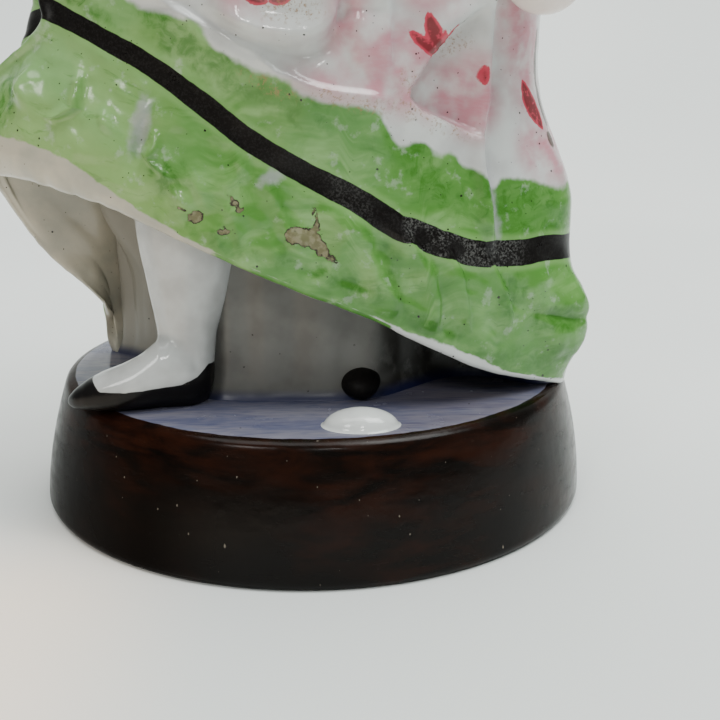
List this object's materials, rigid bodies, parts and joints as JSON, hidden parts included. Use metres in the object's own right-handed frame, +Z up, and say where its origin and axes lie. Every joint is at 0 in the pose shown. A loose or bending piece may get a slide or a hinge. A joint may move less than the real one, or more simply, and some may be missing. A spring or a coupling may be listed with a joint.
{
  "type": "courting couple figurine",
  "caption": "Small glazed porcelain group of a lady in a hitched gown with a gentleman close behind her, fired in one with a low oval base.",
  "frame": {"origin": "centre of the oval base's underside", "axes": "+Z up, the front of the group faces -Y, +X to the viewer's right"},
  "size_m": [0.0774, 0.0662, 0.143],
  "materials": {
    "glazed_porcelain": "clear-glazed white porcelain, painted in enamels"
  },
  "bodies": {
    "root": {"porcelain_group": "glazed_porcelain"}
  },
  "joints": []
}
